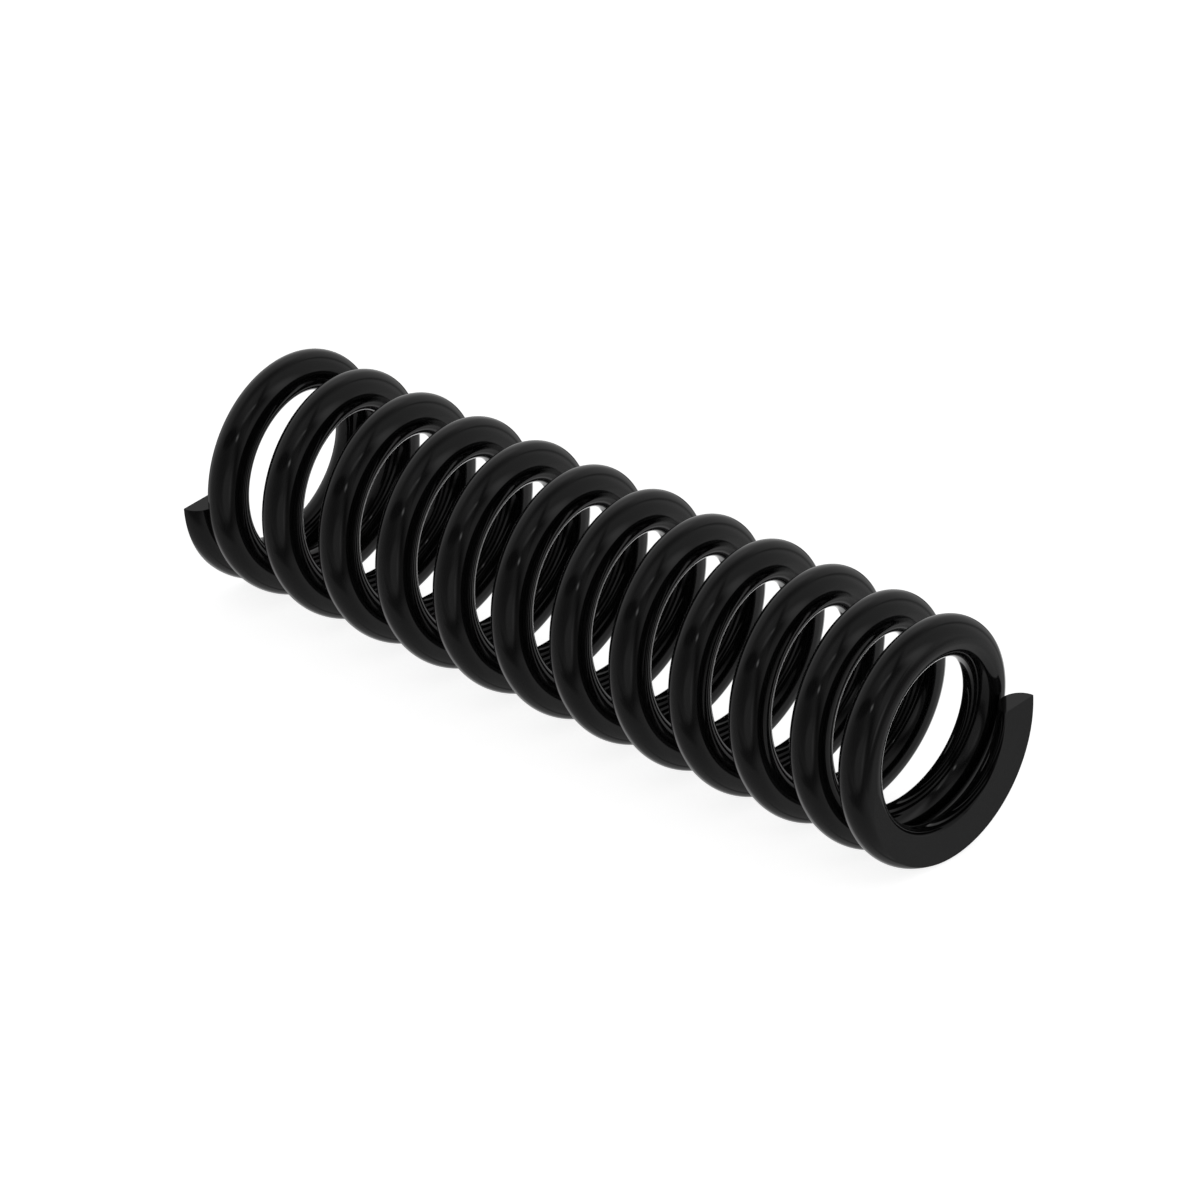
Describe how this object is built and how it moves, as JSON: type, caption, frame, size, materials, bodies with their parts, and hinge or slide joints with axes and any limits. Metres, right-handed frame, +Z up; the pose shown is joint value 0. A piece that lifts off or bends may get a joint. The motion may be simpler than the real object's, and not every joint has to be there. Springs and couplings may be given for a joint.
{
  "type": "compression coil spring",
  "caption": "Round-wire compression coil spring with closed and ground ends, which seats round a damper between two spring plates and shortens under load.",
  "frame": {"origin": "middle of the spring, on the coil's axis and halfway between its two ground faces", "axes": "+X along the coil's axis from the lower end to the upper end as fitted; +Z up, with the spring lying on its side"},
  "size_m": [0.218, 0.0596, 0.0594],
  "materials": {
    "black_coating": "smooth gloss black coating over spring steel"
  },
  "bodies": {
    "lower_end_coil": {"lower_end_coil": "black_coating"},
    "half_coil_01": {"half_coil_01": "black_coating"},
    "half_coil_02": {"half_coil_02": "black_coating"},
    "half_coil_03": {"half_coil_03": "black_coating"},
    "half_coil_04": {"half_coil_04": "black_coating"},
    "half_coil_05": {"half_coil_05": "black_coating"},
    "half_coil_06": {"half_coil_06": "black_coating"},
    "half_coil_07": {"half_coil_07": "black_coating"},
    "half_coil_08": {"half_coil_08": "black_coating"},
    "half_coil_09": {"half_coil_09": "black_coating"},
    "half_coil_10": {"half_coil_10": "black_coating"},
    "half_coil_11": {"half_coil_11": "black_coating"},
    "half_coil_12": {"half_coil_12": "black_coating"},
    "half_coil_13": {"half_coil_13": "black_coating"},
    "half_coil_14": {"half_coil_14": "black_coating"},
    "half_coil_15": {"half_coil_15": "black_coating"},
    "half_coil_16": {"half_coil_16": "black_coating"},
    "half_coil_17": {"half_coil_17": "black_coating"},
    "half_coil_18": {"half_coil_18": "black_coating"},
    "half_coil_19": {"half_coil_19": "black_coating"},
    "half_coil_20": {"half_coil_20": "black_coating"},
    "half_coil_21": {"half_coil_21": "black_coating"},
    "upper_end_coil": {"upper_end_coil": "black_coating"}
  },
  "joints": [
    {"name": "wire_twist_01", "type": "hinge", "parent": "lower_end_coil", "child": "half_coil_01", "pos_m": [-0.09826, -0.02479, -0.00326], "axis": [0, -0.1305, 0.9914], "range_deg": [0, 2], "stiffness_Nm_per_rad": 990},
    {"name": "wire_twist_02", "type": "hinge", "parent": "half_coil_01", "child": "half_coil_02", "pos_m": [-0.0893, 0.02479, 0.00326], "axis": [0, 0.1305, -0.9914], "range_deg": [0, 6], "stiffness_Nm_per_rad": 990},
    {"name": "wire_twist_03", "type": "hinge", "parent": "half_coil_02", "child": "half_coil_03", "pos_m": [-0.0799, -0.02479, -0.00326], "axis": [0, -0.1305, 0.9914], "range_deg": [0, 8], "stiffness_Nm_per_rad": 990},
    {"name": "wire_twist_04", "type": "hinge", "parent": "half_coil_03", "child": "half_coil_04", "pos_m": [-0.0705, 0.02479, 0.00326], "axis": [0, 0.1305, -0.9914], "range_deg": [0, 8], "stiffness_Nm_per_rad": 990},
    {"name": "wire_twist_05", "type": "hinge", "parent": "half_coil_04", "child": "half_coil_05", "pos_m": [-0.0611, -0.02479, -0.00326], "axis": [0, -0.1305, 0.9914], "range_deg": [0, 8], "stiffness_Nm_per_rad": 990},
    {"name": "wire_twist_06", "type": "hinge", "parent": "half_coil_05", "child": "half_coil_06", "pos_m": [-0.0517, 0.02479, 0.00326], "axis": [0, 0.1305, -0.9914], "range_deg": [0, 8], "stiffness_Nm_per_rad": 990},
    {"name": "wire_twist_07", "type": "hinge", "parent": "half_coil_06", "child": "half_coil_07", "pos_m": [-0.0423, -0.02479, -0.00326], "axis": [0, -0.1305, 0.9914], "range_deg": [0, 8], "stiffness_Nm_per_rad": 990},
    {"name": "wire_twist_08", "type": "hinge", "parent": "half_coil_07", "child": "half_coil_08", "pos_m": [-0.0329, 0.02479, 0.00326], "axis": [0, 0.1305, -0.9914], "range_deg": [0, 8], "stiffness_Nm_per_rad": 990},
    {"name": "wire_twist_09", "type": "hinge", "parent": "half_coil_08", "child": "half_coil_09", "pos_m": [-0.0235, -0.02479, -0.00326], "axis": [0, -0.1305, 0.9914], "range_deg": [0, 8], "stiffness_Nm_per_rad": 990},
    {"name": "wire_twist_10", "type": "hinge", "parent": "half_coil_09", "child": "half_coil_10", "pos_m": [-0.0141, 0.02479, 0.00326], "axis": [0, 0.1305, -0.9914], "range_deg": [0, 8], "stiffness_Nm_per_rad": 990},
    {"name": "wire_twist_11", "type": "hinge", "parent": "half_coil_10", "child": "half_coil_11", "pos_m": [-0.0047, -0.02479, -0.00326], "axis": [0, -0.1305, 0.9914], "range_deg": [0, 8], "stiffness_Nm_per_rad": 990},
    {"name": "wire_twist_12", "type": "hinge", "parent": "half_coil_11", "child": "half_coil_12", "pos_m": [0.0047, 0.02479, 0.00326], "axis": [0, 0.1305, -0.9914], "range_deg": [0, 8], "stiffness_Nm_per_rad": 990},
    {"name": "wire_twist_13", "type": "hinge", "parent": "half_coil_12", "child": "half_coil_13", "pos_m": [0.0141, -0.02479, -0.00326], "axis": [0, -0.1305, 0.9914], "range_deg": [0, 8], "stiffness_Nm_per_rad": 990},
    {"name": "wire_twist_14", "type": "hinge", "parent": "half_coil_13", "child": "half_coil_14", "pos_m": [0.0235, 0.02479, 0.00326], "axis": [0, 0.1305, -0.9914], "range_deg": [0, 8], "stiffness_Nm_per_rad": 990},
    {"name": "wire_twist_15", "type": "hinge", "parent": "half_coil_14", "child": "half_coil_15", "pos_m": [0.0329, -0.02479, -0.00326], "axis": [0, -0.1305, 0.9914], "range_deg": [0, 8], "stiffness_Nm_per_rad": 990},
    {"name": "wire_twist_16", "type": "hinge", "parent": "half_coil_15", "child": "half_coil_16", "pos_m": [0.0423, 0.02479, 0.00326], "axis": [0, 0.1305, -0.9914], "range_deg": [0, 8], "stiffness_Nm_per_rad": 990},
    {"name": "wire_twist_17", "type": "hinge", "parent": "half_coil_16", "child": "half_coil_17", "pos_m": [0.0517, -0.02479, -0.00326], "axis": [0, -0.1305, 0.9914], "range_deg": [0, 8], "stiffness_Nm_per_rad": 990},
    {"name": "wire_twist_18", "type": "hinge", "parent": "half_coil_17", "child": "half_coil_18", "pos_m": [0.0611, 0.02479, 0.00326], "axis": [0, 0.1305, -0.9914], "range_deg": [0, 8], "stiffness_Nm_per_rad": 990},
    {"name": "wire_twist_19", "type": "hinge", "parent": "half_coil_18", "child": "half_coil_19", "pos_m": [0.0705, -0.02479, -0.00326], "axis": [0, -0.1305, 0.9914], "range_deg": [0, 8], "stiffness_Nm_per_rad": 990},
    {"name": "wire_twist_20", "type": "hinge", "parent": "half_coil_19", "child": "half_coil_20", "pos_m": [0.0799, 0.02479, 0.00326], "axis": [0, 0.1305, -0.9914], "range_deg": [0, 8], "stiffness_Nm_per_rad": 990},
    {"name": "wire_twist_21", "type": "hinge", "parent": "half_coil_20", "child": "half_coil_21", "pos_m": [0.0893, -0.02479, -0.00326], "axis": [0, -0.1305, 0.9914], "range_deg": [0, 6], "stiffness_Nm_per_rad": 990},
    {"name": "wire_twist_22", "type": "hinge", "parent": "half_coil_21", "child": "upper_end_coil", "pos_m": [0.09826, 0.02479, 0.00326], "axis": [0, 0.1305, -0.9914], "range_deg": [0, 2], "stiffness_Nm_per_rad": 990}
  ],
  "couplings": [
    {"joint": "wire_twist_02", "follows": "wire_twist_01", "ratio": 3},
    {"joint": "wire_twist_03", "follows": "wire_twist_01", "ratio": 4},
    {"joint": "wire_twist_04", "follows": "wire_twist_01", "ratio": 4},
    {"joint": "wire_twist_05", "follows": "wire_twist_01", "ratio": 4},
    {"joint": "wire_twist_06", "follows": "wire_twist_01", "ratio": 4},
    {"joint": "wire_twist_07", "follows": "wire_twist_01", "ratio": 4},
    {"joint": "wire_twist_08", "follows": "wire_twist_01", "ratio": 4},
    {"joint": "wire_twist_09", "follows": "wire_twist_01", "ratio": 4},
    {"joint": "wire_twist_10", "follows": "wire_twist_01", "ratio": 4},
    {"joint": "wire_twist_11", "follows": "wire_twist_01", "ratio": 4},
    {"joint": "wire_twist_12", "follows": "wire_twist_01", "ratio": 4},
    {"joint": "wire_twist_13", "follows": "wire_twist_01", "ratio": 4},
    {"joint": "wire_twist_14", "follows": "wire_twist_01", "ratio": 4},
    {"joint": "wire_twist_15", "follows": "wire_twist_01", "ratio": 4},
    {"joint": "wire_twist_16", "follows": "wire_twist_01", "ratio": 4},
    {"joint": "wire_twist_17", "follows": "wire_twist_01", "ratio": 4},
    {"joint": "wire_twist_18", "follows": "wire_twist_01", "ratio": 4},
    {"joint": "wire_twist_19", "follows": "wire_twist_01", "ratio": 4},
    {"joint": "wire_twist_20", "follows": "wire_twist_01", "ratio": 4},
    {"joint": "wire_twist_21", "follows": "wire_twist_01", "ratio": 3},
    {"joint": "wire_twist_22", "follows": "wire_twist_01", "ratio": 1}
  ]
}
